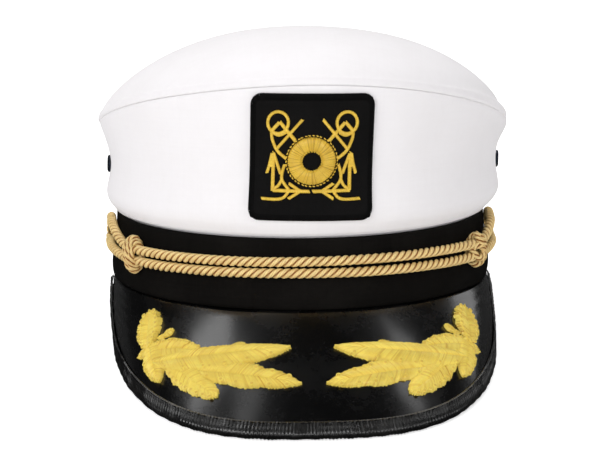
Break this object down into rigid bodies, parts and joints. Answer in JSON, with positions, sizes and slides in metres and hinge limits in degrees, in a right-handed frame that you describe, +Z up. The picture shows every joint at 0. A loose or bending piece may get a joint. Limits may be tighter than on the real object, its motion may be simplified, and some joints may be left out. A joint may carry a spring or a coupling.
{
  "type": "captain cap",
  "caption": "Peaked captain cap: white cloth crown, black band, glossy bound peak, doubled gold cord, badge patch and gold leaf embroidery.",
  "frame": {"origin": "bottom centre of the bounding box, on the surface the cap rests on", "axes": "+Z up, peak and badge towards -Y, +X to the cap's right as seen from in front; the cap leans back on its band as it rests"},
  "size_m": [0.1868, 0.2644, 0.1452],
  "materials": {
    "crown_cloth": "plain woven white cotton, matt",
    "band_cloth": "black woven cotton, matt",
    "peak_patent": "glossy black patent vinyl",
    "binding_tape": "black ribbed binding tape, slight sheen",
    "gold_cord": "twisted gold rayon cord, silky",
    "gold_button": "gilt, satin",
    "patch_cloth": "black twill with an overlocked edge",
    "gold_thread": "bright yellow gold satin stitch",
    "eyelet_metal": "dark blue grey enamel"
  },
  "bodies": {
    "root": {"crown_top": "crown_cloth", "crown_wall": "crown_cloth", "band": "band_cloth", "peak": "peak_patent", "peak_binding": "binding_tape", "gold_cord": "gold_cord", "cord_knot_left": "gold_cord", "cord_knot_right": "gold_cord", "side_button_left": "gold_button", "side_button_right": "gold_button", "badge_patch": "patch_cloth", "badge_ring": "gold_thread", "leaf_spray_left": "gold_thread", "leaf_spray_right": "gold_thread", "eyelet_left": "eyelet_metal", "eyelet_right": "eyelet_metal"}
  },
  "joints": []
}
